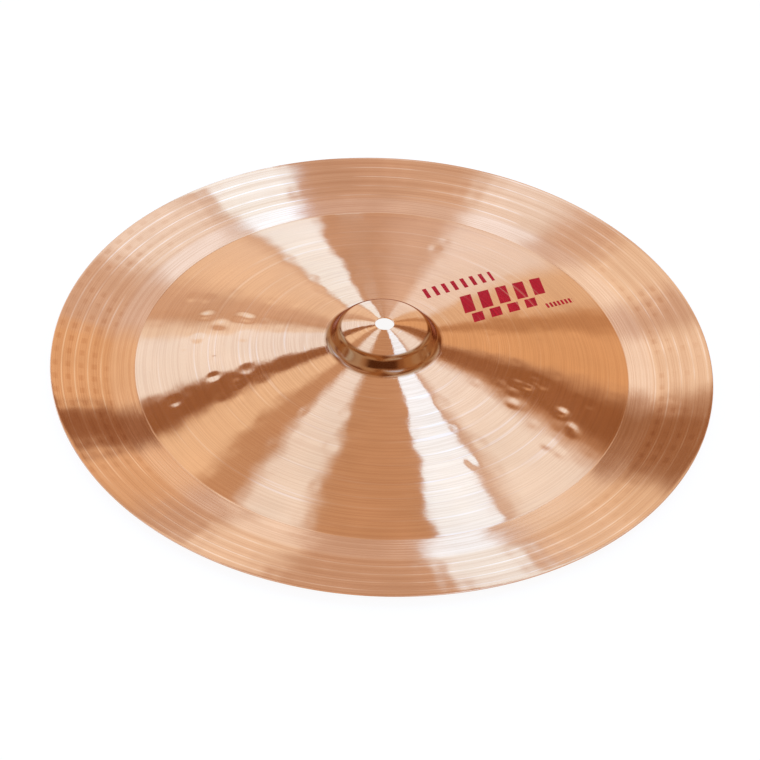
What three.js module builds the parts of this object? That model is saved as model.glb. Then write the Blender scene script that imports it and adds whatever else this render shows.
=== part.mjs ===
// A china cymbal: one thin bronze sheet, pressed, hammered and turned on a lathe.
// From the centre outwards it has a hole, a crown, a steep bell wall, a sloping bow,
// a sharp crease, a flat valley and a flange that turns back up to a rounded edge.
// Millimetres, +Z up. The origin is on the axis, at the height of the valley's underside.

import * as THREE from 'three';

// Driving sizes of the outline, measured on the face that looks up.
const rimDiameter = 457.2;
const holeDiameter = 13;
const holeLandWidth = 3;
const bellDiameter = 78.6;
const bellWallRun = 7.3;
const bellWallHeight = 10.3;
const crownRise = 3.9;
const bowDrop = 23.3;
const bowBulge = 2;
const flangeWidth = 57.6;
const valleyWidth = 17.5;
const flangeRise = 8.5;

// How far each corner's rounding reaches from the corner, along both of its sides.
const shoulderBlend = 4.5;
const bellFootBlend = 4;
const creaseBlend = 4;
const flangeFootBlend = 9;

// The sheet: thicker in the bell, turned thinner over the bow.
const bellSheet = 1.1;
const flangeSheet = 0.85;
const holeDeburr = 0.2;

// The hammer marks: round dents pressed through the sheet, in rows round the bow. A row
// lies at its share of the way from the bell to the crease.
const hammerDepth = 0.35;
const hammerMarkRadius = 5.5;
const hammerRowShares = [0.27, 0.385, 0.53, 0.643, 0.742];
const hammerMarksPerRow = 28;

// How finely the curves are cut into flat pieces.
const turnSteps = 84;
const crownSteps = 3;
const shoulderSteps = 3;
const bellFootSteps = 3;
const longestBowStepShare = 0.09;
const creaseSteps = 2;
const flangeFootSteps = 3;
const rimSteps = 4;

const rimRadius = rimDiameter / 2;
const holeRadius = holeDiameter / 2;
const bellRadius = bellDiameter / 2;
const creaseRadius = rimRadius - flangeWidth;
const flangeTilt = Math.atan2(flangeRise, flangeWidth - valleyWidth);
const edgeRadius = flangeSheet / 2;

const valleyHeight = flangeSheet;
const bellFootHeight = valleyHeight + bowDrop;
const shoulderHeight = bellFootHeight + bellWallHeight;
const topHeight = shoulderHeight + crownRise;

const bronze = new THREE.MeshStandardMaterial({
  color: new THREE.Color(0.64, 0.36, 0.19),
  roughness: 0.32,
  metalness: 1,
});

// Shares from 0 to 1 in equal steps.
function evenStops(steps) {
  return Array.from({ length: steps + 1 }, (_, i) => i / steps);
}

// Shares along the bow: one at each hammer row, one or more between, and the two ends.
function bowStops() {
  const rows = [0, ...hammerRowShares, 1];
  const stops = [0];
  for (let i = 1; i < rows.length; i += 1) {
    const gap = rows[i] - rows[i - 1];
    const steps = Math.max(2, Math.ceil(gap / longestBowStepShare));
    stops.push(...evenStops(steps).slice(1).map((share) => rows[i - 1] + gap * share));
  }
  return stops;
}

// The corners of the upper outline, from the hole to the edge, each with how far its
// rounding reaches and where along the rounding its points lie. A corner with no reach
// is rounded over all that its neighbours leave of its two sides, and the hole's edge
// leaves its flat land.
function outlineCorners() {
  const shoulderRadius = bellRadius - bellWallRun;
  const landRadius = holeRadius + holeLandWidth;
  const crownRadius = (landRadius + shoulderRadius) / 2;
  const bowRadius = (bellRadius + creaseRadius) / 2;
  const bowHeight = (bellFootHeight + valleyHeight) / 2 + 2 * bowBulge;
  const flangeFootRadius = creaseRadius + valleyWidth;
  const edgeCentreRadius = rimRadius - edgeRadius;
  const corner = (radius, height, reach, stops) => (
    { at: new THREE.Vector2(radius, height), reach, stops }
  );
  return [
    corner(holeRadius, topHeight, holeLandWidth, []),
    corner(crownRadius, topHeight, null, evenStops(crownSteps).slice(0, -1)),
    corner(shoulderRadius, shoulderHeight, shoulderBlend, evenStops(shoulderSteps)),
    corner(bellRadius, bellFootHeight, bellFootBlend, evenStops(bellFootSteps)),
    corner(bowRadius, bowHeight, null, bowStops().slice(1, -1)),
    corner(creaseRadius, valleyHeight, creaseBlend, evenStops(creaseSteps)),
    corner(flangeFootRadius, valleyHeight, flangeFootBlend, evenStops(flangeFootSteps)),
    corner(edgeCentreRadius - edgeRadius * Math.sin(flangeTilt), valleyHeight + flangeRise, 0, []),
  ];
}

// The point on the side from one corner to the next, at a distance from the first.
function pointAlong(from, to, distance) {
  const length = from.distanceTo(to);
  return from.clone().lerp(to, distance / length);
}

// A line through the corners with a parabola in place of each inner one.
function roundedLine(corners) {
  const points = [corners[0].at.clone()];
  for (let i = 1; i < corners.length - 1; i += 1) {
    const { at, reach, stops } = corners[i];
    const before = corners[i - 1];
    const after = corners[i + 1];
    const backReach = reach ?? at.distanceTo(before.at) - before.reach;
    const foreReach = reach ?? at.distanceTo(after.at) - after.reach;
    const start = pointAlong(at, before.at, backReach);
    const end = pointAlong(at, after.at, foreReach);
    const bend = new THREE.QuadraticBezierCurve(start, at, end);
    points.push(...stops.map((share) => bend.getPoint(share)));
  }
  points.push(corners[corners.length - 1].at.clone());
  return points;
}

// The sheet's thickness at a radius: even in the bell and in the flange, and turned
// down evenly over the bow between them.
function sheetAt(radius) {
  const share = THREE.MathUtils.clamp((radius - bellRadius) / (creaseRadius - bellRadius), 0, 1);
  return THREE.MathUtils.lerp(bellSheet, flangeSheet, share);
}

// The unit normal to the left of the side from one point to the next.
function sideNormal(from, to) {
  const side = to.clone().sub(from).normalize();
  return new THREE.Vector2(-side.y, side.x);
}

// The underside: every point moved down by the sheet's thickness, so that each straight
// side stays parallel to the one above it.
function undersideOf(points) {
  return points.map((point, i) => {
    const before = points[Math.max(i - 1, 0)];
    const after = points[Math.min(i + 1, points.length - 1)];
    const backNormal = i > 0 ? sideNormal(before, point) : sideNormal(point, after);
    const foreNormal = i < points.length - 1 ? sideNormal(point, after) : backNormal;
    const mitre = backNormal.clone().add(foreNormal).normalize();
    const depth = sheetAt(point.x) / mitre.dot(backNormal);
    return point.clone().addScaledVector(mitre, -depth);
  });
}

// The rounded edge: a half circle from the end of the upper face to the end of the lower.
function edgePoints(upper, lower) {
  const centre = upper.clone().add(lower).multiplyScalar(1 / 2);
  const arm = upper.clone().sub(centre);
  const points = [];
  for (let i = 1; i < rimSteps; i += 1) {
    const turned = arm.clone().rotateAround(new THREE.Vector2(), -Math.PI * i / rimSteps);
    points.push(turned.add(centre));
  }
  return points;
}

// The hole's wall, with both of its edges broken by the deburring tool.
function deburred(points, direction) {
  const [edge, ...rest] = points;
  const wallPoint = edge.clone().add(new THREE.Vector2(0, direction * holeDeburr));
  const facePoint = edge.clone().add(new THREE.Vector2(holeDeburr, 0));
  return [wallPoint, facePoint, ...rest];
}

// The closed section of the sheet, counted so that the turned faces point out.
function sheetSection() {
  const upper = roundedLine(outlineCorners());
  const lower = undersideOf(upper);
  const edge = edgePoints(upper[upper.length - 1], lower[lower.length - 1]);
  const upperEdged = deburred(upper, -1);
  const lowerEdged = deburred(lower, 1);
  const loop = [...upperEdged, ...edge, ...lowerEdged.reverse()];
  loop.push(loop[0].clone());
  return loop.reverse();
}

// How deep the hammer has gone at a radius and an angle: the depth falls smoothly from
// a mark's middle to nothing at its edge, and every other row is turned by half a mark.
function hammeredDepth(radius, angle) {
  const pitch = 2 * Math.PI / hammerMarksPerRow;
  return hammerRowShares.reduce((deepest, share, row) => {
    const rowRadius = THREE.MathUtils.lerp(bellRadius, creaseRadius, share);
    const offset = (row % 2) * Math.floor(turnSteps / hammerMarksPerRow / 2) * 2 * Math.PI / turnSteps;
    const nearest = Math.round((angle - offset) / pitch) * pitch + offset;
    const distance = Math.hypot(radius - rowRadius, radius * (angle - nearest));
    const inside = Math.max(0, 1 - (distance / hammerMarkRadius) ** 2);
    return Math.max(deepest, hammerDepth * inside ** 2);
  }, 0);
}

// The section turned about the axis, which a lathe geometry keeps along Y, stood up on Z,
// with the hammer marks pressed into both faces alike.
function cymbalGeometry() {
  const geometry = new THREE.LatheGeometry(sheetSection(), turnSteps);
  geometry.rotateX(Math.PI / 2);
  const position = geometry.getAttribute('position');
  for (let i = 0; i < position.count; i += 1) {
    const radius = Math.hypot(position.getX(i), position.getY(i));
    const angle = Math.atan2(position.getY(i), position.getX(i));
    position.setZ(i, position.getZ(i) - hammeredDepth(radius, angle));
  }
  geometry.computeVertexNormals();
  return geometry;
}

const cymbal = new THREE.Mesh(cymbalGeometry(), bronze);
cymbal.name = 'cymbal';

const chinaCymbal = new THREE.Group();
chinaCymbal.add(cymbal);

export default chinaCymbal;
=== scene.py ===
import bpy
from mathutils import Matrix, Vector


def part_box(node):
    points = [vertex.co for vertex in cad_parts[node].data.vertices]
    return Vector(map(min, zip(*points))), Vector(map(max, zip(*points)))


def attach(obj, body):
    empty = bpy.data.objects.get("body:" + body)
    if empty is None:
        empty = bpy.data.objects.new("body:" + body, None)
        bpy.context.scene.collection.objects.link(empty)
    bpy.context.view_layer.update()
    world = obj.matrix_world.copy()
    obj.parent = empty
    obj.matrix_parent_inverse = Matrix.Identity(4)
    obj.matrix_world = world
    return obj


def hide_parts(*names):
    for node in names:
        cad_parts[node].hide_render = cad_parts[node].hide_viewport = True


bl_info = {
    "name": "China cymbal",
    "version": (1, 0, 0),
    "blender": (4, 5, 0),
    "location": "View3D > Sidebar > Cymbal",
    "description": "A turned and hammered bronze china cymbal on a pale studio floor",
    "category": "Add Mesh",
}

from math import cos, pi, radians, sin, tau
from types import SimpleNamespace

import bpy
import numpy as np
from bpy.props import FloatProperty, FloatVectorProperty, IntProperty, PointerProperty
from mathutils import Matrix, Vector

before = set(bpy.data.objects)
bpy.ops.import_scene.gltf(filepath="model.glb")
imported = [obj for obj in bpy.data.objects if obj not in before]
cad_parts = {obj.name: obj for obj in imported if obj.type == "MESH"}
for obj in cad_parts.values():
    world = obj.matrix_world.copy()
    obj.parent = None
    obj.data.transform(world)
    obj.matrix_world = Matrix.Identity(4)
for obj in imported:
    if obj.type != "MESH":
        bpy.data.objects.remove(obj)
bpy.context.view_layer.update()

MM = 0.001
RIM_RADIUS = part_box("cymbal")[1].x

# The points along each rounding of the section's line, and the least step between points.
CURVE_POINTS = 400
LEAST_STEP = 0.0005 * MM

# The rows of hammer marks, as shares of the way from the bell to the crease.
ROW_SHARES = (0.27, 0.385, 0.53, 0.643, 0.742)

# The ranges that the size and the depth of a mark and of a bolder stroke are drawn from, as
# shares of the lengths set below.
MARK_SIZES, MARK_DEPTHS = (0.75, 1.15), (0.35, 1.2)
STROKE_SIZES, STROKE_DEPTHS = (0.75, 1.15), (0.45, 1.1)

# The groups of bolder strokes: each one's middle and half its spread, in degrees
# counter-clockwise from +X, the number of its strokes and their force. All lie between the
# two radii, which are in millimetres.
STROKE_GROUPS = ((-178, 25, 17, 1.3), (-27, 20, 18, 1.15), (-64, 7, 5, 0.45), (73, 10, 4, 0.7))
STROKE_RADII = (88, 152)

# The slow waves of the sheet: how many run round the axis, and how far each one turns along
# the radius, in radians to the metre. They reach their full height at the swell's end.
SLOW_WAVES = ((5, 38), (7, -55), (11, 70), (16, -90), (23, 120), (19, 260), (27, -330))
SWELL = 60 * MM

# The bell's wall, for its own finish and its painted shade: how far it reaches inside and
# outside the bell's foot, and half the width of each soft edge.
WALL_INSIDE, WALL_INSIDE_EDGE = 8.3 * MM, 0.9 * MM
WALL_OUTSIDE, WALL_OUTSIDE_EDGE = 2.3 * MM, 1.7 * MM

# Where the bow's own colour starts, from the bell's foot outwards, and the radius at which it
# is full. Then half the width of the soft edges of the crease and of the flange's foot.
BOW_COLOUR_START, BOW_COLOUR_END = 6 * MM, 125 * MM
CREASE_EDGE = 0.8 * MM
FLANGE_EDGE = 3 * MM

# The rings of the cut, each with its pitch along the radius and its steps to the radian.
COARSE_RINGS = (2.4 * MM, 0.8)
FINE_RINGS = (0.8 * MM, 1.3)
STRAY_RINGS = (2.5 * MM, 11.0)

# The lathe tool's path: the pitch of the valley's lines, the pitch and the start of the
# flange's spiral, and the number of flutes round the axis.
VALLEY_PITCH = 2.25 * MM
FLANGE_PITCH = 8.88 * MM
FLANGE_START = -0.7
FLUTES = 101.0

# How strongly the tool's marks show in the colour: the crests of the bow and the valley
# against the flange's, lightened partly as burnished metal and partly as painted highlight,
# and the painted shade in the fine rings, the furrow and its dots.
CREST_HIGHLIGHT_SHARE, BOW_CREST, VALLEY_CREST = 0.46, 0.3, 0.7
FINE_RING_SHADE, FURROW_SHADE, DOT_SHADE = 0.25, 0.14, 0.3

# The flutes: the band beside the crease, inside it, with its softness and its strength, and
# how far past the flange's foot they reach their full height.
BESIDE_START, BESIDE_END, BESIDE_EDGE, BESIDE_SHARE = 14 * MM, 3 * MM, 5 * MM, 0.7
FLUTES_RISE = 16 * MM

# What is added to the roughness: by the slow noise, on the bell's wall and under the ink.
# The ink has little gloss, and it is worn by the lathe's rings.
SLOW_ROUGHNESS, WALL_ROUGHNESS, INK_ROUGHNESS = 0.04, 0.08, 0.25
INK_SHINE = 0.04
INK_WEAR = 0.3

# The lightness of the metal along the slow noise, and of the ink along the fine rings.
METAL_TONES, INK_TONES = (0.95, 1.05), (0.7, 1.25)

# The printed rows' line: where it starts, and its turn from +X towards +Y.
PRINT_START = (31 * MM, 46.5 * MM, 0.0)
PRINT_TURN = radians(36.5)

# The tool's lean: the stretches of the crown and the bow, each with its start, its end and
# the slope at its start, the flange's growing rise, and the slope towards the front in the
# middle, with the width over which it fades and the radius at which it is gone.
LEAN_STRETCHES = ((9.5 * MM, 27.5 * MM, 0.27), (41 * MM, 171 * MM, 0.14))
FLANGE_LIFT = 0.4
FRONT_SLOPE = 0.0155
FRONT_FADE, FRONT_END = 100 * MM, 165 * MM


def length(name, description, default):
    """A property that holds a length in metres."""
    return FloatProperty(
        name=name, description=description, default=default, unit="LENGTH", precision=5
    )


def amount(name, description, default):
    """A property that holds a plain number."""
    return FloatProperty(name=name, description=description, default=default, precision=3)


def angle(name, description, default):
    """A property that holds an angle, given here in degrees."""
    return FloatProperty(
        name=name, description=description, default=radians(default), subtype="ANGLE"
    )


def colour(name, description, default):
    """A property that holds a linear colour."""
    return FloatVectorProperty(
        name=name, description=description, default=default, subtype="COLOR", size=3
    )


def count(name, description, default):
    """A property that holds a whole number."""
    return IntProperty(name=name, description=description, default=default, min=1)


class SheetSizes(bpy.types.PropertyGroup):
    """The outline of the sheet, measured on the face that looks up."""

    hole_radius: length("Hole radius", "Radius of the centre hole", 6.5 * MM)
    land_width: length("Land width", "Flat ring round the hole", 3 * MM)
    bell_radius: length("Bell radius", "Radius at the foot of the bell", 37.8 * MM)
    wall_run: length("Wall run", "How far the shoulder lies inside the foot", 6.0 * MM)
    wall_height: length("Wall height", "From the bell's foot to its shoulder", 10.1 * MM)
    crown_rise: length("Crown rise", "From the shoulder to the hole", 3.9 * MM)
    bow_drop: length("Bow drop", "From the bell's foot to the valley", 23.5 * MM)
    bow_bulge: length("Bow bulge", "How far the bow stands over a straight cone", 2 * MM)
    flange_width: length("Flange width", "From the crease to the edge", 57.6 * MM)
    valley_width: length("Valley width", "From the crease to the flange's foot", 17.5 * MM)
    flange_rise: length("Flange rise", "From the valley to the edge", 8.5 * MM)
    shoulder_reach: length("Shoulder reach", "Reach of the shoulder's rounding", 2.6 * MM)
    foot_reach: length("Foot reach", "Reach of the bell foot's rounding", 5 * MM)
    crease_reach: length("Crease reach", "Reach of the crease's rounding", 0.4 * MM)
    flange_reach: length("Flange reach", "Reach of the flange foot's rounding", 7 * MM)
    bell_sheet: length("Bell sheet", "Thickness of the sheet in the bell", 1.1 * MM)
    flange_sheet: length("Flange sheet", "Thickness of the sheet in the flange", 0.85 * MM)
    hole_deburr: length("Hole deburr", "Width of the hole's broken edges", 0.25 * MM)
    turn_steps: count("Turn steps", "Steps round the axis", 480)
    upper_steps: count("Upper steps", "Steps from the hole to the edge on top", 124)
    lower_steps: count("Lower steps", "Steps from the hole to the edge below", 72)


class HammerWork(bpy.types.PropertyGroup):
    """The marks that the hammer leaves and the slow waves of the sheet."""

    depth: length("Depth", "How deep a mark is", 0.055 * MM)
    radius: length("Radius", "Radius of a mark", 6.2 * MM)
    marks: count("Marks", "Marks in each row", 27)
    stray: length("Stray", "How far a mark may lie from its even place", 3.2 * MM)
    bold_depth: length("Bold depth", "How deep the boldest strokes are", 0.18 * MM)
    bold_radius: length("Bold radius", "Radius of the boldest strokes", 6.3 * MM)
    wave: length("Wave", "Height of the sheet's slow waves", 0.22 * MM)
    seed: count("Seed", "Order in which the marks fall", 7)


class BronzeFinish(bpy.types.PropertyGroup):
    """The colour and gloss of the turned bronze."""

    bell: colour("Bell", "Colour of the metal on the bell", (0.665, 0.337, 0.165))
    # Painted shade: the bell's wall is painted much darker than the rest of the bronze, in place of the
    # dark that its steep face mirrors.
    wall: colour("Wall", "Colour of the metal on the bell's wall", (0.29, 0.095, 0.027))
    bow: colour("Bow", "Colour of the metal on the bow", (0.665, 0.33, 0.155))
    wall_sheen: colour("Wall sheen", "Tint of the wall's gloss at a flat angle", (0.8, 0.55, 0.5))
    valley: colour("Valley", "Colour of the metal in the valley", (0.745, 0.445, 0.275))
    flange: colour("Flange", "Colour of the metal on the flange", (0.71, 0.39, 0.215))
    # Partly painted highlight: the burnished crests are also lightened where thin lines would catch the
    # light.
    crest_and_highlight: colour("Crest", "Colour of the burnished lathe lines", (0.88, 0.66, 0.50))
    # Painted shade: the bottoms of the lathe lines are darkened where their shadow falls.
    groove_shade: colour("Groove", "Colour in the bottom of the lathe lines", (0.50, 0.21, 0.09))
    roughness: amount("Roughness", "Gloss of the turned metal", 0.095)
    stretch: amount("Stretch", "How far gloss is drawn out across the lines, off the wall", 1.0)
    line_height: length("Line height", "Height of the lathe lines", 0.006 * MM)
    stray_height: length("Stray height", "Height of the cut's small waves", 0.022 * MM)
    flute_height: length("Flute height", "Height of the flange's flutes", 0.005 * MM)


class PrintedMark(bpy.types.PropertyGroup):
    """The plain red bars printed on the bow."""

    ink: colour("Ink", "Colour of the printing ink", (0.42, 0.008, 0.014))


class StudioStage(bpy.types.PropertyGroup):
    """The camera, the floor and the light."""

    distance: length("Distance", "From the camera to the point that it looks at", 1.7)
    elevation: angle("Elevation", "Height of the view above the floor", 41.605)
    roll: angle("Roll", "Turn of the camera about its own axis", 3.133)
    lens: amount("Lens", "Focal length in millimetres", 118.81)
    aim: FloatVectorProperty(
        name="Aim",
        description="The point that the camera looks at",
        default=(-0.001, -0.0378, 0.02),
        subtype="XYZ",
        unit="LENGTH",
    )
    side_elevation: angle("Side elevation", "Height of the fans on the other sides", 30)
    side_turn: angle("Side turn", "How far each side's fans are turned", 41)
    board: colour("Board", "Colour of the dark board behind the camera", (0.19, 0.095, 0.052))


def settings(name):
    """The scene's property group of that name."""
    return getattr(bpy.context.scene, name)


def rounded_line(corners, reaches):
    """A line through corners of radius and height, with a parabola in place of each
    inner one. It starts and ends at the corner's reach along its two sides. A reach
    of None takes all that the neighbours leave. No point of the line is repeated."""
    share = np.linspace(0, 1, CURVE_POINTS)[:, None]
    parts = [corners[:1]]
    for i in range(1, len(corners) - 1):
        at = corners[i]
        ends = []
        for other in (i - 1, i + 1):
            side = corners[other] - at
            whole = np.hypot(*side)
            reach = whole - reaches[other] if reaches[i] is None else reaches[i]
            ends.append(at + side * reach / whole)
        start, end = ends
        parts.append((1 - share) ** 2 * start + 2 * share * (1 - share) * at + share**2 * end)
    parts.append(corners[-1:])
    line = np.concatenate(parts)
    apart = np.hypot(*np.diff(line, axis=0).T) > LEAST_STEP
    return line[np.append(True, apart)]


def evenly_spaced(line, steps, per_turn=14 * MM):
    """Points along a line, evenly spaced in its length plus per_turn metres for each
    radian that it turns, so that tight bends get more of them."""
    side = np.diff(line, axis=0)
    bearing = np.unwrap(np.arctan2(side[:, 1], side[:, 0]))
    turning = np.abs(np.diff(bearing, prepend=bearing[0]))
    measure = np.concatenate([[0], np.cumsum(np.hypot(*side.T) + per_turn * turning)])
    stops = np.linspace(0, measure[-1], steps + 1)
    return np.stack([np.interp(stops, measure, line[:, axis]) for axis in (0, 1)], 1)


def upper_outline(sizes):
    """The line of the upper face, from the hole to the edge."""
    sheet = sizes.flange_sheet
    foot = sheet + sizes.bow_drop
    shoulder = sizes.bell_radius - sizes.wall_run
    top = foot + sizes.wall_height + sizes.crown_rise
    crease = RIM_RADIUS - sizes.flange_width
    tilt = np.arctan2(sizes.flange_rise, sizes.flange_width - sizes.valley_width)
    edge = RIM_RADIUS - sheet / 2 * (1 + np.sin(tilt))
    corners = np.array([
        (sizes.hole_radius, top),
        ((sizes.hole_radius + sizes.land_width + shoulder) / 2, top),
        (shoulder, foot + sizes.wall_height),
        (sizes.bell_radius, foot),
        ((sizes.bell_radius + crease) / 2, (foot + sheet) / 2 + 2 * sizes.bow_bulge),
        (crease, sheet),
        (crease + sizes.valley_width, sheet),
        (edge, sheet + sizes.flange_rise),
    ])
    reaches = [
        sizes.land_width, None, sizes.shoulder_reach, sizes.foot_reach,
        None, sizes.crease_reach, sizes.flange_reach, 0,
    ]
    return rounded_line(corners, reaches)


def lower_outline(upper, sizes):
    """The upper line moved square to itself by the sheet's thickness, which is even in
    the bell and the flange and falls evenly over the bow."""
    side = np.gradient(upper, axis=0)
    normal = np.stack([-side[:, 1], side[:, 0]], 1) / np.hypot(*side.T)[:, None]
    crease = RIM_RADIUS - sizes.flange_width
    thickness = np.interp(
        upper[:, 0], [sizes.bell_radius, crease], [sizes.bell_sheet, sizes.flange_sheet]
    )
    return upper - normal * thickness[:, None]


def edge_round(upper_end, lower_end, steps=8):
    """A half circle from the end of the upper face round to the end of the lower one."""
    centre = (upper_end + lower_end) / 2
    arm = upper_end - centre
    turn = -np.linspace(0, pi, steps + 1)[1:-1, None]
    across = np.array([-arm[1], arm[0]])
    return centre + arm * np.cos(turn) + across * np.sin(turn)


def sheet_section(sizes):
    """The closed section of the sheet: the upper face outwards, the rounded edge, the
    lower face inwards, and the wall of the hole with both of its edges broken."""
    dense = upper_outline(sizes)
    upper = evenly_spaced(dense, sizes.upper_steps)
    lower = evenly_spaced(lower_outline(dense, sizes), sizes.lower_steps)
    broken = np.array([sizes.hole_deburr, 0])
    wall = np.array([lower[0] + (0, sizes.hole_deburr), upper[0] - (0, sizes.hole_deburr)])
    upper[0] += broken
    lower[0] += broken
    return np.concatenate([upper, edge_round(upper[-1], lower[-1]), lower[::-1], wall])


def pressed_bowls(radius, azimuth, middle_radius, middle_azimuth, size, depth):
    """The sum of bowls pressed at those middles, each of its own size and depth."""
    pressed = np.zeros(radius.shape)
    for r, a, s, d in zip(middle_radius, middle_azimuth, size, depth):
        across = np.remainder(azimuth - a + pi, tau) - pi
        inside = 1 - ((radius - r) ** 2 + (radius * across) ** 2) / s**2
        pressed += d * np.clip(inside, 0, None) ** 2
    return pressed


def hammered(radius, azimuth, sizes, work):
    """How far the hammer has pressed the sheet down at each radius and azimuth. A mark is
    the bowl depth * (1 - (d / R) squared) squared, where d is the distance from its
    middle, and the marks stand in rows round the bow, each one strayed a little. Groups of
    bolder strokes lie scattered over the bow, and slow waves run through the whole sheet
    beside them."""
    rng = np.random.default_rng(work.seed)
    crease = RIM_RADIUS - sizes.flange_width
    pressed = np.zeros(radius.shape)
    for row, share in enumerate(ROW_SHARES):
        row_radius = sizes.bell_radius + share * (crease - sizes.bell_radius)
        stray = rng.uniform(-work.stray, work.stray, (2, work.marks))
        size = rng.uniform(*MARK_SIZES, work.marks) * work.radius
        depth = rng.uniform(*MARK_DEPTHS, work.marks) * work.depth
        middle_radius = row_radius + stray[0]
        middle_azimuth = (np.arange(work.marks) + row % 2 / 2) / work.marks * tau
        middle_azimuth = middle_azimuth + stray[1] / row_radius
        pressed += pressed_bowls(radius, azimuth, middle_radius, middle_azimuth, size, depth)
    for middle, spread, strokes, force in STROKE_GROUPS:
        middle_radius = rng.uniform(*STROKE_RADII, strokes) * MM
        middle_azimuth = np.radians(middle + rng.uniform(-spread, spread, strokes))
        size = rng.uniform(*STROKE_SIZES, strokes) * work.bold_radius
        depth = rng.uniform(*STROKE_DEPTHS, strokes) * work.bold_depth * force
        pressed += pressed_bowls(radius, azimuth, middle_radius, middle_azimuth, size, depth)
    swell = np.clip((radius - sizes.bell_radius) / SWELL, 0, 1)
    waves = np.zeros(radius.shape)
    for around, along in SLOW_WAVES:
        phase = rng.uniform(0, tau)
        waves += np.sin(around * azimuth + along * radius + phase) / around
    return pressed + work.wave * swell * waves


def turned_mesh(name, sizes, work):
    """The section turned about the axis and pressed down by the hammer. Both UV maps run
    along the section and round the axis: one is read by the finish, the other is spare
    for the export's bake. The bell's wall wears the second material."""
    section = sheet_section(sizes)
    rows, turns = len(section), sizes.turn_steps
    azimuth = np.arange(turns) / turns * tau
    radius = np.repeat(section[:, :1], turns, 1)
    height = section[:, 1:] - hammered(radius, azimuth, sizes, work)
    place = np.stack([radius * np.cos(azimuth), radius * np.sin(azimuth), height], -1)

    row, turn = np.meshgrid(np.arange(rows), np.arange(turns), indexing="ij")
    next_row, next_turn = (row + 1) % rows, (turn + 1) % turns
    quads = np.stack(
        [row * turns + turn, next_row * turns + turn,
         next_row * turns + next_turn, row * turns + next_turn], -1,
    ).reshape(-1, 4)

    closed = np.concatenate([section, section[:1]])
    along = np.concatenate([[0], np.cumsum(np.hypot(*np.diff(closed, axis=0).T))])
    along /= along[-1]
    u = np.stack([along[row], along[row + 1], along[row + 1], along[row]], -1)
    v = np.stack([turn, turn, turn + 1, turn + 1], -1) / turns
    spots = np.stack([u, v], -1).reshape(-1, 2).astype(np.float32)

    mesh = bpy.data.meshes.new(name)
    mesh.from_pydata(place.reshape(-1, 3).tolist(), [], quads.tolist())
    for layer in ("Turning", "OFBake"):
        mesh.uv_layers.new(name=layer).data.foreach_set("uv", spots.ravel())
    middle = (closed[:-1, 0] + closed[1:, 0]) / 2 - sizes.bell_radius
    on_wall = (middle > -WALL_INSIDE) & (middle < WALL_OUTSIDE)
    mesh.polygons.foreach_set("material_index", np.repeat(on_wall, turns).astype(np.int32))
    mesh.shade_smooth()
    mesh.set_sharp_from_angle(angle=radians(30))
    mesh.validate()
    return mesh


def add_node(tree, kind, inputs=(), **fields):
    """A node with its fields set. Each input is linked if it is given a socket, and
    otherwise takes the value as its own."""
    new = tree.nodes.new(kind)
    for field, value in fields.items():
        setattr(new, field, value)
    for key, value in dict(inputs).items():
        if isinstance(value, bpy.types.NodeSocket):
            tree.links.new(value, new.inputs[key])
        else:
            new.inputs[key].default_value = value
    return new


def calc(tree, operation, *values, clamp=False):
    """The result of a Math node on sockets or numbers."""
    inputs = dict(enumerate(values))
    return add_node(tree, "ShaderNodeMath", inputs, operation=operation, use_clamp=clamp).outputs[0]


def vector_math(tree, operation, *values):
    """The result of a Vector Math node on sockets or vectors."""
    inputs = dict(enumerate(values))
    return add_node(tree, "ShaderNodeVectorMath", inputs, operation=operation).outputs[0]


def product(tree, first, *others):
    """The first value times all the others."""
    for other in others:
        first = calc(tree, "MULTIPLY", first, other)
    return first


def ramp_between(tree, value, start, end):
    """0 below start and 1 above end, with a smooth step between. Start may be the higher."""
    inputs = {"Value": value, "From Min": start, "From Max": end}
    node = add_node(tree, "ShaderNodeMapRange", inputs, interpolation_type="SMOOTHSTEP")
    return node.outputs["Result"]


def blend_colours(tree, share, first, second, mode="MIX"):
    """The first colour where the share is 0 and the second where it is 1."""
    node = add_node(
        tree, "ShaderNodeMix", {0: share, 6: first, 7: second}, data_type="RGBA", blend_type=mode
    )
    return node.outputs[2]


def blend_numbers(tree, share, first, second):
    """The first number where the share is 0 and the second where it is 1."""
    return calc(tree, "MULTIPLY_ADD", calc(tree, "SUBTRACT", second, first), share, first)


def new_group(name, inputs, outputs):
    """An empty node group with these sockets, and its tree and input node. A colour
    socket's default has four numbers, and a vector's is None."""
    tree = bpy.data.node_groups.new(name, "ShaderNodeTree")
    for key, value in inputs.items():
        if value is None:
            tree.interface.new_socket(key, in_out="INPUT", socket_type="NodeSocketVector")
        elif isinstance(value, tuple):
            socket = tree.interface.new_socket(key, in_out="INPUT", socket_type="NodeSocketColor")
            socket.default_value = value
        else:
            socket = tree.interface.new_socket(key, in_out="INPUT", socket_type="NodeSocketFloat")
            socket.default_value = value
    for key, kind in outputs.items():
        tree.interface.new_socket(key, in_out="OUTPUT", socket_type=f"NodeSocket{kind}")
    return tree, tree.nodes.new("NodeGroupInput").outputs


def use_group(tree, name, **inputs):
    """The outputs of the named group, placed with these inputs. A socket's name has
    spaces where a keyword has underscores."""
    node = tree.nodes.new("ShaderNodeGroup")
    node.node_tree = bpy.data.node_groups[name]
    for key, value in inputs.items():
        socket = node.inputs[key.replace("_", " ").capitalize()]
        if isinstance(value, bpy.types.NodeSocket):
            tree.links.new(value, socket)
        else:
            socket.default_value = value
    return node.outputs


def soft_band(tree, value, low, high, softness):
    """The Soft band group's mask of a value."""
    return use_group(
        tree, "Soft band", value=value, low=low, high=high, softness=softness
    )["Mask"]


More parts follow.
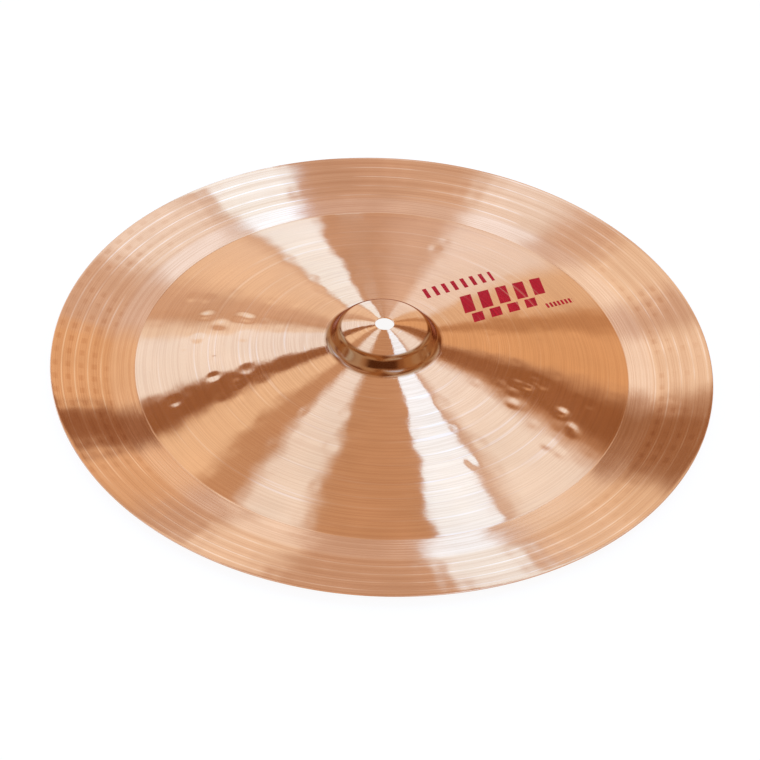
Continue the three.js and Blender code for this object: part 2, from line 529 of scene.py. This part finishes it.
def polar_group():
    """Radius and azimuth of a place round the axis."""
    outputs = {"Radius": "Float", "Azimuth": "Float"}
    tree, given = new_group("Polar place", {"Place": None}, outputs)
    parts = add_node(tree, "ShaderNodeSeparateXYZ", {0: given["Place"]}).outputs
    across = calc(tree, "MULTIPLY", parts["Y"], parts["Y"])
    radius = calc(tree, "SQRT", calc(tree, "MULTIPLY_ADD", parts["X"], parts["X"], across))
    azimuth = calc(tree, "ARCTAN2", parts["Y"], parts["X"])
    add_node(tree, "NodeGroupOutput", {"Radius": radius, "Azimuth": azimuth})


def band_group():
    """1 where a value lies between low and high, falling to 0 over the softness."""
    tree, given = new_group(
        "Soft band", {"Value": 0.0, "Low": 0.0, "High": 1.0, "Softness": 0.1}, {"Mask": "Float"}
    )
    half = calc(tree, "MULTIPLY", given["Softness"], 0.5)
    rise = ramp_between(
        tree, given["Value"],
        calc(tree, "SUBTRACT", given["Low"], half), calc(tree, "ADD", given["Low"], half),
    )
    fall = ramp_between(
        tree, given["Value"],
        calc(tree, "ADD", given["High"], half), calc(tree, "SUBTRACT", given["High"], half),
    )
    add_node(tree, "NodeGroupOutput", {"Mask": calc(tree, "MULTIPLY", rise, fall)})


def rings_group():
    """Uneven rings: noise read along the radius at a pitch, and round the axis by a number
    of steps to the radian, so that each ring comes and goes on its way round."""
    tree, given = new_group(
        "Lathe rings",
        {"Radius": 0.0, "Place": None, "Pitch": 0.003, "Steps": 5.0},
        {"Height": "Float"},
    )
    heading = vector_math(tree, "MULTIPLY", given["Place"], (1.0, 1.0, 0.0))
    heading = vector_math(tree, "NORMALIZE", heading)
    heading = add_node(
        tree, "ShaderNodeVectorMath", {0: heading, "Scale": given["Steps"]}, operation="SCALE"
    ).outputs[0]
    ring = calc(tree, "DIVIDE", given["Radius"], given["Pitch"])
    ring = add_node(tree, "ShaderNodeCombineXYZ", {2: ring}).outputs[0]
    spot = vector_math(tree, "ADD", heading, ring)
    noise = add_node(
        tree, "ShaderNodeTexNoise", {"Vector": spot, "Scale": 1.0, "Detail": 2.0, "Roughness": 0.55}
    ).outputs[0]
    add_node(tree, "NodeGroupOutput", {"Height": noise})


def card_group():
    """One card of a fan of light: it covers a range of bearings, over what is below it."""
    tree, given = new_group(
        "Light card",
        {"Below": (0.0, 0.0, 0.0, 1.0), "Card": (1.0, 1.0, 1.0, 1.0), "Bearing": 0.0,
         "Centre": 0.0, "Half width": 0.1, "Edge": 0.05},
        {"Light": "Color"},
    )
    off = calc(tree, "SUBTRACT", given["Bearing"], given["Centre"])
    off = calc(tree, "ABSOLUTE", calc(tree, "WRAP", off, pi, -pi))
    share = ramp_between(
        tree, off,
        calc(tree, "ADD", given["Half width"], given["Edge"]),
        calc(tree, "SUBTRACT", given["Half width"], given["Edge"]),
    )
    light = blend_colours(tree, share, given["Below"], given["Card"])
    add_node(tree, "NodeGroupOutput", {"Light": light})


def row_group():
    """A printed row: bars of one pitch, each leaning by the slant, inside a block that
    runs from start to end along and from low to high across."""
    tree, given = new_group(
        "Printed row",
        {"Along": 0.0, "Across": 0.0, "Start": 0.0, "End": 0.1, "Low": 0.0, "High": 0.01,
         "Pitch": 0.01, "Bar": 0.7, "Slant": 0.3},
        {"Mask": "Float"},
    )
    edge = 0.25 * MM
    height = calc(tree, "SUBTRACT", given["Across"], given["Low"])
    slid = calc(tree, "SUBTRACT", given["Along"], calc(tree, "MULTIPLY", height, given["Slant"]))
    inside = soft_band(tree, slid, given["Start"], given["End"], edge)
    level = soft_band(tree, given["Across"], given["Low"], given["High"], edge)
    turn = calc(tree, "DIVIDE", calc(tree, "SUBTRACT", slid, given["Start"]), given["Pitch"])
    bar = soft_band(tree, calc(tree, "FRACT", turn), 0.0, given["Bar"], 0.03)
    add_node(tree, "NodeGroupOutput", {"Mask": product(tree, inside, level, bar)})


def make_groups():
    """The node groups that the materials share, made once."""
    if "Polar place" in bpy.data.node_groups:
        return
    polar_group()
    band_group()
    rings_group()
    card_group()
    row_group()


def fresh_material(name):
    """A material with only an output node, and its tree."""
    material = bpy.data.materials.new(name)
    material.use_nodes = True
    tree = material.node_tree
    tree.nodes.clear()
    return material, tree, tree.nodes.new("ShaderNodeOutputMaterial")


def rgba(value):
    """A linear colour with full alpha."""
    return (*value, 1.0)


def zone_masks(tree, radius, sizes):
    """Masks of the sheet's zones: the bell's wall, where the colour is darkened as painted shade,
    the outer bow, all that lies outside the crease, and the flange."""
    crease = RIM_RADIUS - sizes.flange_width
    foot = crease + sizes.valley_width
    off = calc(tree, "SUBTRACT", radius, sizes.bell_radius)
    wall_start = ramp_between(
        tree, off, -WALL_INSIDE - WALL_INSIDE_EDGE, -WALL_INSIDE + WALL_INSIDE_EDGE
    )
    wall_end = ramp_between(
        tree, off, WALL_OUTSIDE + WALL_OUTSIDE_EDGE, WALL_OUTSIDE - WALL_OUTSIDE_EDGE
    )
    return SimpleNamespace(
        wall=product(tree, wall_start, wall_end),
        outer_bow=ramp_between(
            tree, radius, sizes.bell_radius + BOW_COLOUR_START, BOW_COLOUR_END
        ),
        outside=ramp_between(tree, radius, crease - CREASE_EDGE, crease + CREASE_EDGE),
        flange=ramp_between(tree, radius, foot - FLANGE_EDGE, foot + FLANGE_EDGE),
    )


def lathe_rings(tree, place, radius, pitch, steps):
    """The height of the Lathe rings group at a place."""
    return use_group(
        tree, "Lathe rings", radius=radius, place=place, pitch=pitch, steps=steps
    )["Height"]


def lathe_marks(tree, place, radius, azimuth, zones):
    """What the tool leaves. The first mask marks the crests, burnished and lightened partly as
    painted highlight: stray rings on the bow, even ones in the valley and a spiral on the flange.
    The cut masks the painted shade between them, with rows of darker dots in the spiral's furrow
    on the left and right of the flange only."""
    coarse = lathe_rings(tree, place, radius, *COARSE_RINGS)
    fine = lathe_rings(tree, place, radius, *FINE_RINGS)
    stray = lathe_rings(tree, place, radius, *STRAY_RINGS)
    slow = add_node(
        tree, "ShaderNodeTexNoise", {"Vector": place, "Scale": 22.0, "Detail": 2.0}
    ).outputs[0]
    flute = calc(tree, "SINE", calc(tree, "MULTIPLY", azimuth, FLUTES))

    bow = calc(tree, "SUBTRACT", 1.0, zones.outside)
    bow_lines = product(tree, ramp_between(tree, coarse, 0.60, 0.70), bow)
    valley = product(tree, zones.outside, calc(tree, "SUBTRACT", 1.0, zones.flange))
    valley_wave = calc(tree, "SINE", calc(tree, "MULTIPLY", radius, tau / VALLEY_PITCH))
    valley_lines = product(
        tree, ramp_between(tree, valley_wave, 0.3, 1.0), valley, ramp_between(tree, slow, 0.45, 0.75)
    )
    spiral = calc(tree, "MULTIPLY_ADD", radius, tau / FLANGE_PITCH, FLANGE_START)
    spiral = calc(tree, "SINE", calc(tree, "SUBTRACT", spiral, azimuth))
    flange_lines = product(
        tree, ramp_between(tree, spiral, 0.90, 0.995), zones.flange, ramp_between(tree, slow, 0.30, 0.62)
    )
    crest_and_highlight = calc(
        tree, "MAXIMUM",
        product(tree, bow_lines, BOW_CREST), product(tree, valley_lines, VALLEY_CREST),
    )
    crest_and_highlight = calc(tree, "MAXIMUM", crest_and_highlight, flange_lines)

    # Painted shade: the spiral's furrow is darkened, and dots in it are darkened more, only towards the
    # left and right of the flange.
    furrow = product(tree, ramp_between(tree, product(tree, spiral, -1.0), -0.2, 0.9), zones.flange)
    facing = calc(tree, "COSINE", azimuth)
    dots = product(
        tree, furrow, ramp_between(tree, flute, -0.2, 0.7), ramp_between(tree, slow, 0.42, 0.56),
        ramp_between(tree, product(tree, facing, facing), 0.35, 0.85),
    )
    cut = product(tree, ramp_between(tree, fine, 0.45, 0.58), FINE_RING_SHADE)
    cut = calc(tree, "MULTIPLY_ADD", furrow, FURROW_SHADE, cut)
    cut = calc(tree, "MULTIPLY_ADD", dots, DOT_SHADE, cut)
    cut = product(tree, cut, calc(tree, "SUBTRACT", 1.0, zones.wall))
    return SimpleNamespace(
        fine=fine, stray=stray, slow=slow, flute=flute, bow_lines=bow_lines, crest_and_highlight=crest_and_highlight, cut=cut
    )


def toned(tree, noise, low, high):
    """A grey that follows a noise from low to high."""
    tone = add_node(
        tree, "ShaderNodeMapRange",
        {"Value": noise, "From Min": 0.3, "From Max": 0.7, "To Min": low, "To Max": high},
    ).outputs[0]
    return add_node(tree, "ShaderNodeCombineColor", {0: tone, 1: tone, 2: tone}).outputs[0]


def metal_colour(tree, finish, zones, marks):
    """The metal's colour in each zone, with painted shade on the bell's wall and in the cut, and
    brighter on the crests, partly as painted highlight.
    """
    metal = blend_colours(tree, zones.outer_bow, rgba(finish.bell), rgba(finish.bow))
    # Painted shade: the bell's wall takes its darker colour here.
    metal = blend_colours(tree, zones.wall, metal, rgba(finish.wall))
    metal = blend_colours(tree, zones.outside, metal, rgba(finish.valley))
    metal = blend_colours(tree, zones.flange, metal, rgba(finish.flange))
    # Painted shade in the lathe lines, then the crests lightened, partly as painted highlight.
    metal = blend_colours(tree, marks.cut, metal, rgba(finish.groove_shade))
    metal = blend_colours(tree, product(tree, marks.crest_and_highlight, CREST_HIGHLIGHT_SHARE), metal, rgba(finish.crest_and_highlight))
    return blend_colours(tree, 1.0, metal, toned(tree, marks.slow, *METAL_TONES), "MULTIPLY")


def printed_mask(tree, place):
    """Where the ink may lie: a row of narrow bars, a tall and a low row of broad slanted bars
    and a fine row after them, set along a line that rises across the bow."""
    line = add_node(
        tree, "ShaderNodeMapping",
        {"Vector": place, "Location": PRINT_START, "Rotation": (0.0, 0.0, PRINT_TURN)},
        vector_type="TEXTURE",
    ).outputs[0]
    parts = add_node(tree, "ShaderNodeSeparateXYZ", {0: line}).outputs
    along, across = parts["X"], parts["Y"]
    wide = dict(start=14 * MM, pitch=15.6 * MM, bar=0.62, slant=0.45)
    rows = (
        dict(start=0.0, end=60 * MM, low=3 * MM, high=14 * MM, pitch=8.2 * MM, bar=0.42, slant=0.25),
        dict(end=90 * MM, low=-23 * MM, high=-5 * MM, **wide),
        dict(end=74 * MM, low=-34 * MM, high=-25 * MM, **wide),
        dict(
            start=76 * MM, end=100 * MM, low=-39 * MM, high=-34 * MM,
            pitch=3.4 * MM, bar=0.6, slant=0.2,
        ),
    )
    ink = 0.0
    for row in rows:
        mask = use_group(tree, "Printed row", along=along, across=across, **row)["Mask"]
        ink = calc(tree, "MAXIMUM", ink, mask)
    return ink


def printed_ink(tree, place, marks):
    """Where the ink lies on the upper face, worn thin over the stray rings."""
    spot = add_node(tree, "ShaderNodeUVMap", {}, uv_map="Turning").outputs[0]
    along = add_node(tree, "ShaderNodeSeparateXYZ", {0: spot}).outputs["X"]
    upper = ramp_between(tree, along, 0.5, 0.48)
    worn = calc(tree, "SUBTRACT", 1.0, product(tree, marks.bow_lines, INK_WEAR))
    return product(tree, printed_mask(tree, place), upper, worn)


def bumped(tree, height, distance, normal=None):
    """The normal of a face bumped by a height times a distance, over an earlier normal."""
    inputs = {"Strength": 1.0, "Distance": distance, "Height": height}
    if normal is not None:
        inputs["Normal"] = normal
    return add_node(tree, "ShaderNodeBump", inputs).outputs[0]


def fading_slope(tree, radius, start, end, slope):
    """The height of a face that falls outwards by the slope at the start and evenly less,
    down to nothing at the end."""
    reach = end - start
    rest = calc(tree, "MULTIPLY_ADD", radius, -1 / reach, end / reach, clamp=True)
    return product(tree, rest, rest, slope * reach / 2)


def tool_lean(tree, place, radius, sizes):
    """The height, in metres, that gives the cut face its extra slope. The tool leans the
    bottoms of its fine lines: outwards on the crown and the bow, where the slope falls
    evenly to nothing at the end of its stretch, and inwards by the flange's tilt over the
    valley, until the sheet itself has that tilt. The middle of the sheet leans a little
    towards the front as well."""
    crease = RIM_RADIUS - sizes.flange_width
    foot = crease + sizes.valley_width
    foot_start, foot_end = foot - sizes.flange_reach, foot + sizes.flange_reach
    tilt = sizes.flange_rise / (sizes.flange_width - sizes.valley_width)
    land_end, _, land_slope = LEAN_STRETCHES[0]
    land = calc(tree, "MAXIMUM", calc(tree, "SUBTRACT", land_end, radius), 0.0)
    height = product(tree, land, land_slope)
    for start, end, slope in LEAN_STRETCHES:
        height = calc(tree, "ADD", height, fading_slope(tree, radius, start, end, slope))
    flat = add_node(
        tree, "ShaderNodeMapRange",
        {"Value": radius, "From Min": crease, "From Max": foot_start,
         "To Min": (crease - foot_start) * tilt, "To Max": 0.0},
    ).outputs[0]
    bend = fading_slope(tree, radius, foot_start, foot_end, -tilt)
    outer = calc(tree, "MAXIMUM", calc(tree, "SUBTRACT", radius, foot), 0.0)
    height = calc(tree, "ADD", calc(tree, "ADD", height, flat), bend)
    height = calc(tree, "ADD", height, product(tree, outer, outer, FLANGE_LIFT))
    inner = calc(tree, "MULTIPLY_ADD", radius, -1 / FRONT_FADE, FRONT_END / FRONT_FADE, clamp=True)
    across = add_node(tree, "ShaderNodeSeparateXYZ", {0: place}).outputs["Y"]
    return calc(tree, "MULTIPLY_ADD", product(tree, across, FRONT_SLOPE), inner, height)


def cut_normal(tree, place, radius, finish, sizes, marks):
    """The normal of the cut face, with the tool's lean, its small waves, its lines and the
    flutes, which stand on the flange and beside the crease."""
    crease = RIM_RADIUS - sizes.flange_width
    foot = crease + sizes.valley_width
    normal = bumped(tree, tool_lean(tree, place, radius, sizes), 1.0)
    normal = bumped(tree, marks.stray, finish.stray_height, normal)
    lines = calc(tree, "ADD", marks.fine, marks.crest_and_highlight)
    normal = bumped(tree, lines, finish.line_height, normal)
    beside = soft_band(tree, radius, crease - BESIDE_START, crease - BESIDE_END, BESIDE_EDGE)
    outer = ramp_between(tree, radius, foot, foot + FLUTES_RISE)
    strength = calc(tree, "ADD", outer, product(tree, beside, BESIDE_SHARE))
    strength = product(tree, strength, ramp_between(tree, marks.slow, 0.35, 0.6))
    flutes = product(tree, marks.flute, strength)
    return bumped(tree, flutes, finish.flute_height, normal)


def turned_bronze(name, finish, mark, sizes, stretch, sheen):
    """Bronze cut by a lathe tool: its gloss is drawn out across the lines by the stretch, its
    colour changes from zone to zone, with painted shade on the bell's wall and in the lathe
    lines and a partly painted highlight on their crests, and red bars are printed on the bow.
    The sheen tints what it mirrors at a flat angle."""
    material, tree, output = fresh_material(name)
    place = tree.nodes.new("ShaderNodeTexCoord").outputs["Object"]
    polar = use_group(tree, "Polar place", place=place)
    radius, azimuth = polar["Radius"], polar["Azimuth"]
    zones = zone_masks(tree, radius, sizes)
    marks = lathe_marks(tree, place, radius, azimuth, zones)
    ink = printed_ink(tree, place, marks)
    printed = toned(tree, marks.fine, *INK_TONES)
    printed = blend_colours(tree, 1.0, rgba(mark.ink), printed, "MULTIPLY")
    base = blend_colours(tree, ink, metal_colour(tree, finish, zones, marks), printed)

    roughness = calc(tree, "SUBTRACT", marks.slow, 0.5)
    roughness = calc(tree, "MULTIPLY_ADD", roughness, SLOW_ROUGHNESS, finish.roughness)
    roughness = calc(tree, "MULTIPLY_ADD", zones.wall, WALL_ROUGHNESS, roughness)
    roughness = calc(tree, "MULTIPLY_ADD", ink, INK_ROUGHNESS, roughness)
    tangent = add_node(tree, "ShaderNodeTangent", {}, direction_type="UV_MAP", uv_map="Turning")
    shader = add_node(
        tree, "ShaderNodeBsdfPrincipled",
        {"Base Color": base, "Metallic": calc(tree, "SUBTRACT", 1.0, ink), "Roughness": roughness,
         "Anisotropic": stretch, "Tangent": tangent.outputs[0],
         "Normal": cut_normal(tree, place, radius, finish, sizes, marks),
         "Specular IOR Level": INK_SHINE, "Specular Tint": rgba(sheen)},
    ).outputs[0]
    tree.links.new(shader, output.inputs["Surface"])
    return material


def pale_floor():
    """A pale matt floor. The camera, gloss and glass see it as the white background with
    the object's shadow on it, and from below it is clear."""
    material, tree, output = fresh_material("Pale floor")
    path = tree.nodes.new("ShaderNodeLightPath").outputs
    seen = calc(tree, "MAXIMUM", path["Is Camera Ray"], path["Is Glossy Ray"])
    seen = calc(tree, "MAXIMUM", seen, path["Is Transmission Ray"])
    matt = add_node(tree, "ShaderNodeBsdfDiffuse", {"Color": (0.7, 0.69, 0.68, 1.0)}).outputs[0]
    shadow = add_node(tree, "ShaderNodeBsdfDiffuse", {"Color": (0.10, 0.10, 0.10, 1.0)}).outputs[0]
    white = add_node(
        tree, "ShaderNodeEmission", {"Color": (0.91, 0.91, 0.91, 1.0), "Strength": 1.0}
    ).outputs[0]
    backdrop = add_node(tree, "ShaderNodeAddShader", {0: shadow, 1: white}).outputs[0]
    face = add_node(tree, "ShaderNodeMixShader", {0: seen, 1: matt, 2: backdrop}).outputs[0]
    below = tree.nodes.new("ShaderNodeNewGeometry").outputs["Backfacing"]
    below = calc(tree, "MAXIMUM", below, calc(tree, "MINIMUM", path["Transparent Depth"], 1.0))
    clear = tree.nodes.new("ShaderNodeBsdfTransparent").outputs[0]
    surface = add_node(tree, "ShaderNodeMixShader", {0: below, 1: face, 2: clear}).outputs[0]
    tree.links.new(surface, output.inputs["Surface"])
    return material


WHITE = (1.46, 2.75, 5.6)
PEARL = (1.38, 2.2, 3.45)
CREAM = (1.33, 1.98, 3.2)
PEACH = (1.25, 1.6, 2.15)
HONEY = (1.25, 1.39, 1.54)
STRAW = (1.14, 1.16, 1.14)
DOVE = (0.97, 0.96, 1.04)
AMBER = (1.06, 0.91, 0.73)
GREY = (0.85, 0.79, 0.83)
SAND = (0.81, 0.70, 0.65)
RUST = (0.76, 0.58, 0.43)
UMBER = (0.44, 0.26, 0.155)
SOOT = (0.38, 0.19, 0.10)

# Two fans of light cards round the mirrored view, each on its sand-coloured paper. A card
# has the bearing of its middle, half its width and half the width of its edge, all in
# degrees clockwise from +X, and its colour. Later cards hang in front.
FLANGE_FAN = (
    (354, 20, 4, AMBER), (20, 12, 6, DOVE), (44, 12, 5.5, PEACH), (85, 11, 3, GREY),
    (66, 7.3, 1.8, PEARL), (98, 8, 5, DOVE), (125, 8, 3, DOVE), (111.7, 8, 3, PEACH),
    (155.5, 8, 3, DOVE), (140.5, 8.5, 4, HONEY), (174, 12, 4, HONEY), (236, 12.5, 4, STRAW),
    (207, 14.5, 6.5, UMBER), (257, 4.9, 1.6, PEARL), (285.4, 5.6, 2.4, HONEY),
    (309.5, 8.2, 4, AMBER), (326.6, 7.5, 3.2, SOOT),
)
BOW_FAN = (
    (351, 13.5, 4, AMBER), (41.3, 12.6, 6, CREAM), (65.7, 8.6, 0.9, WHITE), (116.3, 9, 3.8, CREAM),
    (145.3, 7.2, 3.5, HONEY), (200, 8, 4, DOVE), (182, 7.5, 4, PEACH), (173.8, 9.8, 2, CREAM),
    (216, 12.5, 5.5, HONEY), (238.8, 8.7, 2.2, PEARL), (282, 12.5, 9.5, DOVE),
    (324, 13.5, 4.5, STRAW), (304.5, 15, 5, PEACH), (342.6, 3.9, 3, RUST),
    (15.2, 8.2, 4.5, UMBER), (158.6, 5, 2.2, UMBER),
)

# The leans at which the bow's fan starts, softly, and at which the other sides' fans do.
BOW_LEAN = 0.218
BOW_LEAN_EDGE = 0.006
SIDE_LEAN = 0.46

# The dark board behind the camera, by the height of a direction's unit vector and by how far
# the direction lies off the camera's side. Near the horizon all is white.
BOARD_LOW, BOARD_HIGH, BOARD_EDGE = 0.20, 0.45, 0.06
BOARD_END, BOARD_FULL = radians(38), radians(25)
HORIZON_END, HORIZON_FULL = 0.05, 0.02


def hung_fan(tree, bearing, fan):
    """The light of a fan of cards at a bearing."""
    light = rgba(SAND)
    for centre, half_width, edge, card in fan:
        light = use_group(
            tree, "Light card", below=light, card=rgba(card), bearing=bearing,
            centre=radians(centre), half_width=radians(half_width), edge=radians(edge),
        )["Light"]
    return light


def mirroring_face(tree, direction, height, elevation):
    """The face that mirrors a direction to a camera that looks towards +Y and down by the
    elevation. Its normal is halfway between the two: its bearing clockwise from +X, and its
    lean, which is its slope."""
    halfway = vector_math(tree, "ADD", direction, (0.0, -cos(elevation), 0.0))
    polar = use_group(tree, "Polar place", place=halfway)
    lean = calc(tree, "DIVIDE", polar["Radius"], calc(tree, "ADD", height, sin(elevation)))
    return calc(tree, "MULTIPLY", polar["Azimuth"], -1.0), lean


def studio_light(stage):
    """A world of light cards in fans, told by how a face must lean to mirror them to the
    camera. Past the reach of the photograph's own fans, the same fans stand on the other
    three sides, each turned by a different angle. A dark board hangs behind the camera, and
    the camera itself sees plain white."""
    world = bpy.data.worlds.new("Studio light")
    world.use_nodes = True
    tree = world.node_tree
    tree.nodes.clear()
    place = tree.nodes.new("ShaderNodeTexCoord").outputs["Generated"]
    unit = vector_math(tree, "NORMALIZE", place)
    height = add_node(tree, "ShaderNodeSeparateXYZ", {0: unit}).outputs["Z"]
    height = calc(tree, "ABSOLUTE", height)
    bearing, lean = mirroring_face(tree, unit, height, stage.elevation)

    azimuth = use_group(tree, "Polar place", place=unit)["Azimuth"]
    side = calc(tree, "ROUND", calc(tree, "MULTIPLY_ADD", azimuth, 2 / pi, -1.0))
    turned = add_node(
        tree, "ShaderNodeVectorRotate",
        {"Vector": unit, "Angle": calc(tree, "MULTIPLY", side, -pi / 2)}, rotation_type="Z_AXIS",
    ).outputs[0]
    side_bearing, side_lean = mirroring_face(tree, turned, height, stage.side_elevation)
    side_bearing = calc(tree, "MULTIPLY_ADD", side, stage.side_turn, side_bearing)
    beyond = calc(tree, "GREATER_THAN", lean, SIDE_LEAN)
    bearing = blend_numbers(tree, beyond, bearing, side_bearing)
    lean = blend_numbers(tree, beyond, lean, side_lean)

    outer = ramp_between(tree, lean, BOW_LEAN - BOW_LEAN_EDGE, BOW_LEAN + BOW_LEAN_EDGE)
    light = blend_colours(
        tree, outer, hung_fan(tree, bearing, FLANGE_FAN), hung_fan(tree, bearing, BOW_FAN)
    )

    level = soft_band(tree, height, BOARD_LOW, BOARD_HIGH, BOARD_EDGE)
    behind = calc(tree, "WRAP", calc(tree, "ADD", azimuth, pi / 2), pi, -pi)
    behind = ramp_between(tree, calc(tree, "ABSOLUTE", behind), BOARD_END, BOARD_FULL)
    light = blend_colours(tree, product(tree, level, behind), light, rgba(stage.board))
    white = (1.0, 1.0, 1.0, 1.0)
    horizon = ramp_between(tree, height, HORIZON_END, HORIZON_FULL)
    light = blend_colours(tree, horizon, light, white)
    path = tree.nodes.new("ShaderNodeLightPath").outputs
    light = blend_colours(tree, path["Is Camera Ray"], light, white)
    glow = add_node(tree, "ShaderNodeBackground", {"Color": light, "Strength": 1.0}).outputs[0]
    tree.links.new(glow, tree.nodes.new("ShaderNodeOutputWorld").inputs["Surface"])
    return world


def add_object(name, mesh, *materials):
    """An object at the origin, with its mesh and materials."""
    for material in materials:
        mesh.materials.append(material)
    piece = bpy.data.objects.new(name, mesh)
    bpy.context.collection.objects.link(piece)
    return piece


class CYMBAL_OT_make_sheet(bpy.types.Operator):
    """Make the cymbal's sheet with its turned bronze"""

    bl_idname = "cymbal.make_sheet"
    bl_label = "Make the sheet"

    def execute(self, context):
        make_groups()
        sizes, finish, mark = (
            settings(name) for name in ("sheet_sizes", "bronze_finish", "printed_mark")
        )
        mesh = turned_mesh("cymbal_sheet", sizes, settings("hammer_work"))
        plain = (1.0, 1.0, 1.0)
        bronze = turned_bronze("Turned bronze", finish, mark, sizes, finish.stretch, plain)
        wall = turned_bronze("Bell wall", finish, mark, sizes, 0.0, finish.wall_sheen)
        sheet = add_object("cymbal_sheet", mesh, bronze, wall)
        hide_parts("cymbal")
        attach(sheet, "root")
        return {"FINISHED"}


class CYMBAL_OT_make_stage(bpy.types.Operator):
    """Make the floor, the light cards and the camera"""

    bl_idname = "cymbal.make_stage"
    bl_label = "Make the stage"

    def execute(self, context):
        make_groups()
        stage = settings("studio_stage")
        reach = 12.0
        below = -0.3 * MM
        floor_mesh = bpy.data.meshes.new("floor")
        corners = ((-reach, -reach), (reach, -reach), (reach, reach), (-reach, reach))
        floor_mesh.from_pydata([(*corner, below) for corner in corners], [], [(0, 1, 2, 3)])
        floor = add_object("floor", floor_mesh, pale_floor())
        context.scene.world = studio_light(stage)
        context.scene.view_settings.view_transform = "Standard"
        self.add_camera(context, stage)
        return {"FINISHED"}

    def add_camera(self, context, stage):
        """The camera stands off from its aim towards -Y and up, and turns about its axis."""
        aim = Vector(stage.aim)
        back = Vector((0, -cos(stage.elevation), sin(stage.elevation)))
        right = Vector((1, 0, 0))
        up = back.cross(right)
        rolled_right = right * cos(stage.roll) + up * sin(stage.roll)
        rolled_up = up * cos(stage.roll) - right * sin(stage.roll)
        lens = bpy.data.cameras.new("camera")
        lens.lens = stage.lens
        lens.sensor_width = 36
        camera = bpy.data.objects.new("camera", lens)
        turn = Matrix((rolled_right, rolled_up, back)).transposed().to_4x4()
        camera.matrix_world = Matrix.Translation(aim + back * stage.distance) @ turn
        context.collection.objects.link(camera)
        context.scene.camera = camera


class CYMBAL_PT_maker(bpy.types.Panel):
    """The cymbal's sizes, finish and stage"""

    bl_idname = "CYMBAL_PT_maker"
    bl_label = "China cymbal"
    bl_space_type = "VIEW_3D"
    bl_region_type = "UI"
    bl_category = "Cymbal"

    def draw(self, context):
        layout = self.layout
        for name, group in GROUPS.items():
            column = layout.column(align=True)
            column.label(text=group.__doc__)
            for key in group.__annotations__:
                column.prop(getattr(context.scene, name), key)
        layout.operator("cymbal.make_sheet")
        layout.operator("cymbal.make_stage")


GROUPS = {
    "sheet_sizes": SheetSizes,
    "hammer_work": HammerWork,
    "bronze_finish": BronzeFinish,
    "printed_mark": PrintedMark,
    "studio_stage": StudioStage,
}
CLASSES = (*GROUPS.values(), CYMBAL_OT_make_sheet, CYMBAL_OT_make_stage, CYMBAL_PT_maker)


def register():
    for kind in CLASSES:
        bpy.utils.register_class(kind)
    for name, group in GROUPS.items():
        setattr(bpy.types.Scene, name, PointerProperty(type=group))


def unregister():
    for name in GROUPS:
        delattr(bpy.types.Scene, name)
    for kind in reversed(CLASSES):
        bpy.utils.unregister_class(kind)


def main():
    """Make the pieces and the stage."""
    register()
    bpy.ops.cymbal.make_sheet()
    bpy.ops.cymbal.make_stage()


if __name__ == "__main__":
    main()
